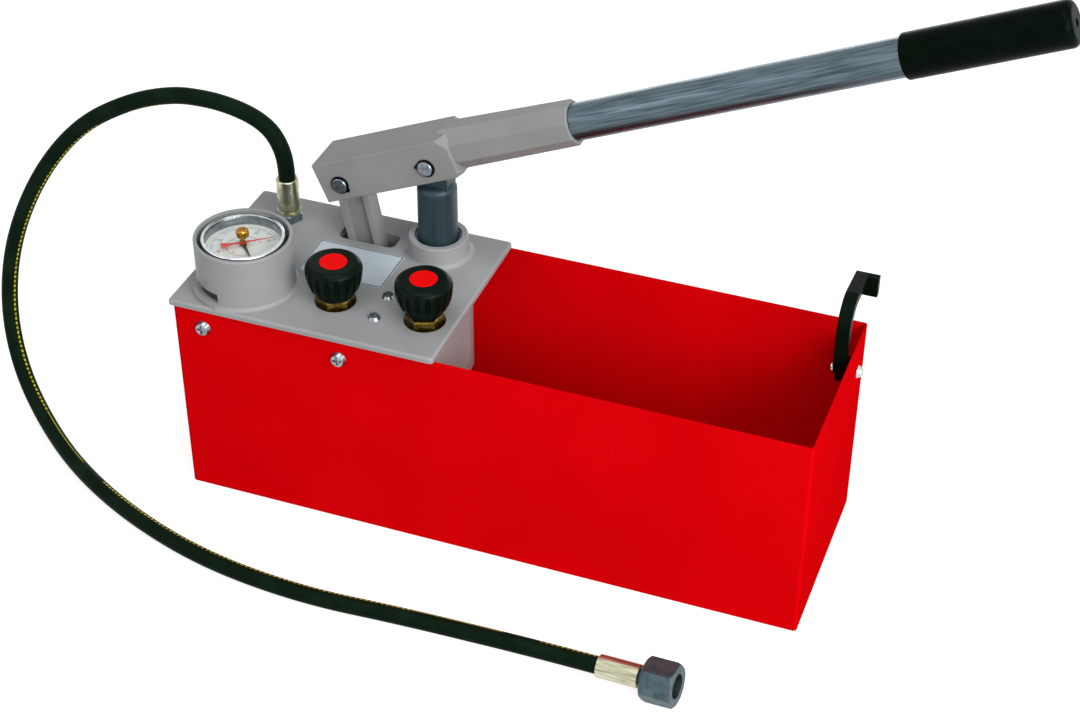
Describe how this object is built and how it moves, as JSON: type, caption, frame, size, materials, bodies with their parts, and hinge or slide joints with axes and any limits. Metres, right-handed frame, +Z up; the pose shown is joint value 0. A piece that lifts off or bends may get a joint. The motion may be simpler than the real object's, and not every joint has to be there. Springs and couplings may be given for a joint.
{
  "type": "hydrostatic test pump",
  "caption": "Hand lever pressure test pump on an open water tank, with gauge, two valves, toggle link and a pressure hose.",
  "frame": {"origin": "centre of the tank's base on the floor", "axes": "+X towards the open end of the tank, along the lever; +Y to the back, away from the gauge and valves; +Z up"},
  "size_m": [0.8237, 0.2913, 0.4781],
  "materials": {
    "red_enamel": "gloss enamel",
    "grey_enamel": "satin enamel on a casting",
    "blue_enamel": "satin",
    "plunger_steel": "ground, blued",
    "galvanised": "galvanised",
    "black_grip": "gloss",
    "black_enamel": "satin enamel",
    "bright_steel": "turned",
    "black_steel": "blackened",
    "zinc": "bright zinc",
    "yellow_zinc": "yellow zinc",
    "brass": "turned",
    "knob_black": "satin",
    "cap_red": "gloss",
    "gauge_black": "gloss",
    "gauge_steel": "polished",
    "dial_white": "matt",
    "drag_red": "matt",
    "clear_glass": "clear",
    "plate": "satin",
    "hose_braid": "smooth cover",
    "seal_rubber": "matt"
  },
  "bodies": {
    "pump": {"tank": "red_enamel", "cover": "grey_enamel", "rating_plate": "plate", "pump_body": "grey_enamel", "link_bracket": "grey_enamel", "guide_bush": "brass", "plunger_seal": "seal_rubber", "gland_ring": "blue_enamel", "left_bonnet": "brass", "right_bonnet": "brass", "gauge_stem": "brass", "gauge_case": "gauge_steel", "gauge_movement": "brass", "gauge_dial": "dial_white", "gauge_glass": "clear_glass", "gauge_bezel": "gauge_steel", "side_screws": "zinc", "cover_screws": "zinc", "catch_bolt": "zinc", "catch_nut": "zinc", "catch_spacer": "bright_steel", "suction_fitting": "brass", "suction_ball": "bright_steel", "suction_pipe": "bright_steel", "strainer": "brass", "delivery_plug": "brass", "delivery_spring": "bright_steel", "delivery_ball": "bright_steel", "port_nut": "yellow_zinc", "port_ferrule": "yellow_zinc", "hose": "hose_braid", "end_ferrule": "yellow_zinc", "end_nipple": "zinc", "end_washer": "seal_rubber"},
    "plunger": {"plunger": "plunger_steel"},
    "lever": {"lever_head": "grey_enamel", "lever_tube": "galvanised", "lever_grip": "black_grip", "link_pin": "bright_steel", "plunger_pin": "bright_steel", "link_pin_rings": "black_steel", "plunger_pin_rings": "black_steel"},
    "link": {"link": "grey_enamel", "foot_pin": "bright_steel"},
    "left_spindle": {"left_spindle": "bright_steel"},
    "left_knob": {"left_knob": "knob_black", "left_knob_cap": "cap_red"},
    "right_spindle": {"right_spindle": "bright_steel"},
    "right_knob": {"right_knob": "knob_black", "right_knob_cap": "cap_red"},
    "pointer": {"gauge_pointer": "gauge_black"},
    "drag": {"drag_pointer": "drag_red", "reset_knob": "brass"},
    "catch": {"catch": "black_enamel"},
    "union_nut": {"union_nut": "zinc"}
  },
  "joints": [
    {"name": "plunger_slide", "type": "slide", "parent": "pump", "child": "plunger", "axis": [0, 0, 1], "range_m": [-0.0327, 0.0205]},
    {"name": "lever_pivot", "type": "hinge", "parent": "plunger", "child": "lever", "pos_m": [-0.085, 0.0495, 0.2675], "axis": [0, -1, 0], "range_deg": [-24, 15]},
    {"name": "link_swing", "type": "hinge", "parent": "lever", "child": "link", "pos_m": [-0.15681, 0.0495, 0.2368], "axis": [0, -1, 0], "range_deg": [-19.4, 30.9]},
    {"name": "left_spindle_rise", "type": "slide", "parent": "pump", "child": "left_spindle", "axis": [0, 0, 1], "range_m": [0, 0.00226]},
    {"name": "left_knob_turn", "type": "hinge", "parent": "left_spindle", "child": "left_knob", "pos_m": [-0.133, -0.0387, 0.2], "axis": [0, 0, 1], "range_deg": [0, 540]},
    {"name": "right_spindle_rise", "type": "slide", "parent": "pump", "child": "right_spindle", "axis": [0, 0, 1], "range_m": [-0.00226, 0]},
    {"name": "right_knob_turn", "type": "hinge", "parent": "right_spindle", "child": "right_knob", "pos_m": [-0.06, -0.0387, 0.2], "axis": [0, 0, 1], "range_deg": [-540, 0]},
    {"name": "pointer_turn", "type": "hinge", "parent": "pump", "child": "pointer", "pos_m": [-0.206, -0.041, 0.215], "axis": [0, 0, -1], "range_deg": [0, 270]},
    {"name": "drag_turn", "type": "hinge", "parent": "pump", "child": "drag", "pos_m": [-0.206, -0.041, 0.217], "axis": [0, 0, -1], "range_deg": [-264, 6]},
    {"name": "catch_swing", "type": "hinge", "parent": "pump", "child": "catch", "pos_m": [0.2395, 0.0587, 0.1445], "axis": [1, 0, 0], "range_deg": [-22, 85]},
    {"name": "union_nut_turn", "type": "hinge", "parent": "pump", "child": "union_nut", "pos_m": [0.17263, -0.17906, 0.01606], "axis": [0.9918, -0.0902, 0.0902], "continuous": true}
  ],
  "couplings": [
    {"joint": "plunger_slide", "follows": "lever_pivot", "m_per_rad": 0.0778},
    {"joint": "link_swing", "follows": "lever_pivot", "ratio": -1.281},
    {"joint": "left_spindle_rise", "follows": "left_knob_turn", "m_per_rad": 0.0002387},
    {"joint": "right_spindle_rise", "follows": "right_knob_turn", "m_per_rad": 0.0002387}
  ]
}
